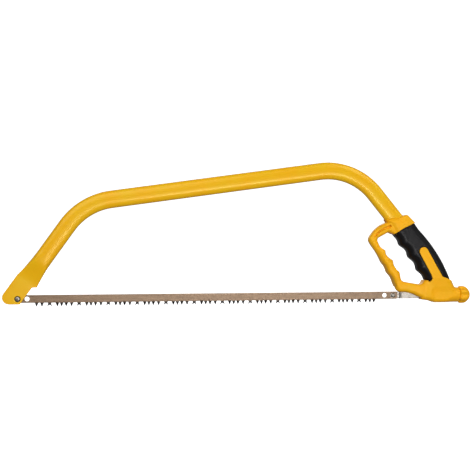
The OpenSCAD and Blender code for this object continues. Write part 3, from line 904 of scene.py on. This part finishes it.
def make_handle_screw(material):
    top = COLLAR_T / 2 - RECESS_DEPTH

    def field(x, y, z):
        r, turn = np.hypot(x, z), np.arctan2(x, z)
        head = meet(r - SCREW_HEAD_R, np.maximum(top - y, np.hypot(r * 0.55, y - top) - 2.2), 0.4)
        pitch = (y / 1.1 - turn / (2 * math.pi)) % 1
        shank = np.maximum(r - 1.98 + 0.6 * np.abs(pitch - 0.5), span(y, top - 9, top + 0.1))
        cross = np.minimum(np.maximum(np.abs(x) - 0.5, np.abs(z) - 2.1 + (top + 2.2 - y) * 0.5),
                           np.maximum(np.abs(z) - 0.5, np.abs(x) - 2.1 + (top + 2.2 - y) * 0.5))
        return cut(np.minimum(head, shank), np.maximum(cross, top + 0.6 - y), 0.2)

    axes = grid((-4.2, top - 9.4, -4.2), (4.2, top + 2.6, 4.2), 0.2)
    return sculpt("handle_screw_black", field, axes, material,
                  (PIN_SPAN + SCREW_X, 0, HANDLE_SCREW_H))


# ---- blade ----

def tooth(x):
    """A pointed tooth with hollow flanks, as (x, z, how far down)."""
    root, h, w = -BLADE_H / 2, TOOTH_H, TOOTH_W / 2
    half = [(1.35, 0), (1.1, 0.1), (0.92, 0.3), (0.55, 0.68), (0.12, 1)]
    left = [(x - w * b, root - h * d, d) for b, d in half]
    right = [(x + w * b, root - h * d, d) for b, d in half]
    return left + right[::-1]


def raker(x):
    """A forked raker tooth with two small horns."""
    root, h, w = -BLADE_H / 2, TOOTH_H, RAKER_W / 2
    half = [(0.84, 0), (0.66, 0.12), (0.64, 0.4), (1.0, 0.94), (0.74, 0.92), (0.30, 0.66)]
    left = [(x - w * b, root - h * d, d) for b, d in half]
    right = [(x + w * b, root - h * d, d) for b, d in half]
    return left + [(x, root - h * 0.6, 0.6)] + right[::-1]


def blade_edge():
    """The toothed edge from left to right: points, and each point's side, 1, -1 or 0."""
    teeth = [(FIRST_RAKER + (c - 1) * TOOTH_GROUP, "tooth") for c in CUTTERS[2:]]
    for i in range(GROUPS):
        x = FIRST_RAKER + i * TOOTH_GROUP
        teeth.append((x, "raker"))
        teeth += [(x + c * TOOTH_GROUP, "tooth") for c in CUTTERS[:4 if i < GROUPS - 1 else 3]]
    points, side, sign = [], [], 1
    for x, kind in teeth:
        if kind == "raker":
            new = raker(x)
            side += [0] * len(new)
        else:
            new = tooth(x)
            side += [sign] * len(new)
            sign = -sign
        points += new
    return points, side


def blade_outline():
    """The whole outline with (x, z, how far down a tooth), and each point's side."""
    l, r, top = -BLADE_END, PIN_SPAN + BLADE_END, BLADE_H / 2
    edge, side = blade_edge()
    start = corner((r, top), (l, top), (l, -top), 1.5) + corner((l, top), (l, -top), (r, -top), 1.5)
    end = corner((l, -top), (r, -top), (r, top), 1.5) + corner((r, -top), (r, top), (l, top), 1.5)
    points = [(*p, 0) for p in start] + edge + [(*p, 0) for p in end]
    return points, [0] * len(start) + side + [0] * len(end)


def blade_sheet(points):
    """Flat points and triangles inside the outline and outside the blade's holes."""
    centres = np.array([0, SPARE_STEP, PIN_SPAN - SPARE_STEP, PIN_SPAN])
    loops, flat = [list(range(len(points)))], [p[:2] for p in points]
    for x in centres:
        loops.append([len(flat) + i for i in range(36)])
        flat += [(x + HOLE_D / 2 * math.cos(a), HOLE_D / 2 * math.sin(a))
                 for a in np.linspace(0, 2 * math.pi, 36, endpoint=False)]
    edges = [(a, b) for ring in loops for a, b in zip(ring, ring[1:] + ring[:1])]
    flat += [(x, z) for x in np.arange(20, PIN_SPAN - 20, 6.2) for z in (-4.6, 0.3, 4.6)]
    co, _, faces, origins, _, _ = delaunay_2d_cdt(flat, edges, [], 0, 1e-6)
    co, faces = np.array([tuple(p) for p in co]), np.array(faces)
    middle = co[faces].mean(axis=1)
    inside = outline(points)(*middle.T) < 0
    inside &= np.hypot(middle[:, :1] - centres, middle[:, 1:]).min(axis=1) > HOLE_D / 2 * 0.99
    return co, faces[inside], origins


def make_blade(material):
    points, side = blade_outline()
    co, faces, origins = blade_sheet(points)
    down, turned = np.zeros(len(co)), np.zeros(len(co))
    for i, source in enumerate(origins):
        for k in source:
            if k < len(points):
                down[i], turned[i] = points[k][2], side[k]
    a, b, c = (co[faces[:, k]] for k in range(3))
    area = (b - a)[:, 0] * (c - a)[:, 1] - (b - a)[:, 1] * (c - a)[:, 0]
    faces = np.where(area[:, None] > 0, faces, faces[:, ::-1])
    # the teeth are set to alternate sides, and filed to an edge on their inner side
    set_y = turned * 0.42 * down ** 1.3
    filed = 0.55 * np.minimum(down * 2, 1)
    layers = [np.stack([co[:, 0], set_y + s * (BLADE_T / 2 - filed * (turned == -s)), co[:, 1]], 1)
              for s in (-1, 1)]
    sides = {(a, b) for t in faces.tolist() for a, b in zip(t, t[1:] + t[:1])}
    m = len(co)
    rim = [(b, a, a + m, b + m) for a, b in sorted(sides) if (b, a) not in sides]
    quads = faces.tolist() + (faces[:, ::-1] + m).tolist() + rim
    obj = add_mesh("blade_toothed", np.concatenate(layers), quads, material)
    obj.data.polygons.foreach_set("use_smooth", [False] * len(obj.data.polygons))
    return obj


# ---- stage ----

def make_camera():
    """Level, 9.2 degrees off the saw's face, so that the nose is nearer than the handle."""
    data = bpy.data.cameras.new("camera")
    data.lens, data.sensor_width = 72.6, 36
    camera = bpy.data.objects.new("camera", data)
    camera.location = to_row((95.4, -1480.7, 97.8))
    camera.rotation_euler = (math.radians(90), 0, math.radians(-9.2))
    bpy.context.scene.collection.objects.link(camera)
    bpy.context.scene.camera = camera


def add_light(name, place, target, size, power, colour=(1, 1, 1)):
    data = bpy.data.lights.new(name, "AREA")
    data.shape, data.size, data.size_y = "RECTANGLE", size[0] * MM, size[1] * MM
    data.energy, data.color = power, colour
    light = bpy.data.objects.new(name, data)
    light.location = to_row(place)
    aim = Vector(to_row(target)) - light.location
    light.rotation_euler = aim.to_track_quat("-Z", "Y").to_euler()
    light.visible_camera = False
    bpy.context.scene.collection.objects.link(light)


def make_lights():
    middle = (330, 0, 90)
    add_light("key", (-300, -1700, 1100), middle, (1800, 1200), 18.5)
    add_light("fill", (1500, -1300, 1250), middle, (1000, 1000), 10)
    add_light("low_strip", (715, -1500, -85), middle, (850, 90), 6.5)
    add_light("nose_strip", (110, -1500, -85), middle, (160, 90), 1.4)
    add_light("back", (500, 1800, 700), middle, (1800, 1200), 11)
    world = bpy.data.worlds.new("studio")
    bpy.context.scene.world = world
    world.use_nodes = True
    background = next(n for n in world.node_tree.nodes if n.type == "BACKGROUND")
    background.inputs["Color"].default_value = (1, 1, 1, 1)
    background.inputs["Strength"].default_value = 0.28


def white_stage():
    s = Shader("stage_white", Base_Color=(0.86, 0.86, 0.86, 1), Roughness=0.9)
    s.bsdf.inputs["Emission Color"].default_value = (1, 1, 1, 1)
    s.bsdf.inputs["Emission Strength"].default_value = 0.9
    s.bumps((s.noise(8, 3), 0.02))
    return s.material


def make_stage():
    """A round floor that turns up into a white wall, seen only by the camera."""
    floor = cad_box[0].z - 0.001
    profile = [(0.001, 0), (3.0, 0)]
    profile += [(3.0 + 0.9 * math.sin(a), 0.9 * (1 - math.cos(a)))
                for a in np.linspace(0.1, math.pi / 2, 12)] + [(3.9, 6.0)]
    turns = np.linspace(0, 2 * math.pi, 96, endpoint=False)
    centre = (cad_box[0] + cad_box[1]) / 2
    points = [(centre.x + r * math.cos(a), r * math.sin(a), floor + z) for r, z in profile for a in turns]
    n = len(turns)
    faces = [(i * n + j, i * n + (j + 1) % n, (i + 1) * n + (j + 1) % n, (i + 1) * n + j)
             for i in range(len(profile) - 1) for j in range(n)]
    mesh = bpy.data.meshes.new("stage_sweep")
    mesh.from_pydata(points, [], faces)
    mesh.polygons.foreach_set("use_smooth", [True] * len(faces))
    mesh.materials.append(white_stage())
    stage = bpy.data.objects.new("stage_sweep", mesh)
    bpy.context.scene.collection.objects.link(stage)
    stage.visible_diffuse = stage.visible_glossy = stage.visible_shadow = False


# ---- the saw ----

make_camera()
make_lights()
make_stage()
bpy.context.scene.view_settings.view_transform = "Standard"

yellow, zinc = handle_plastic(), bright_zinc()
install(make_tube(frame_paint()), "frame", "frame_paint", "frame_tube")
install(make_handle(yellow), "frame", "handle_plastic", "handle")
install(make_grip(grip_rubber()), "frame", "grip_rubber", "grip")
install(make_knob(yellow), "knob", "handle_plastic", "knob")
install(make_insert(turned_brass()), "knob", "brass", "knob_insert")
install(make_blade(blade_steel()), "blade", "blade_steel", "blade")
# the draw bar's zinc has a line of painted shade at its step
bar_zinc = bright_zinc("bar_zinc", PIN_SPAN + STEP_START + STEP_L)
install(make_draw_bar(bar_zinc), "tensioner", "zinc", "draw_bar")
install(make_stud(turned_steel()), "tensioner", "stud_steel", "rear_stud")
install(make_thrust_washer(zinc), "frame", "zinc", "thrust_washer")
install(make_screw(zinc), "frame", "zinc", "front_pin_screw")
install(make_washer(zinc), "frame", "zinc", "front_pin_washer")
install(make_nut(zinc), "frame", "zinc", "front_pin_nut")
install(make_handle_screw(black_steel()), "frame", "dark_steel", "handle_screw")
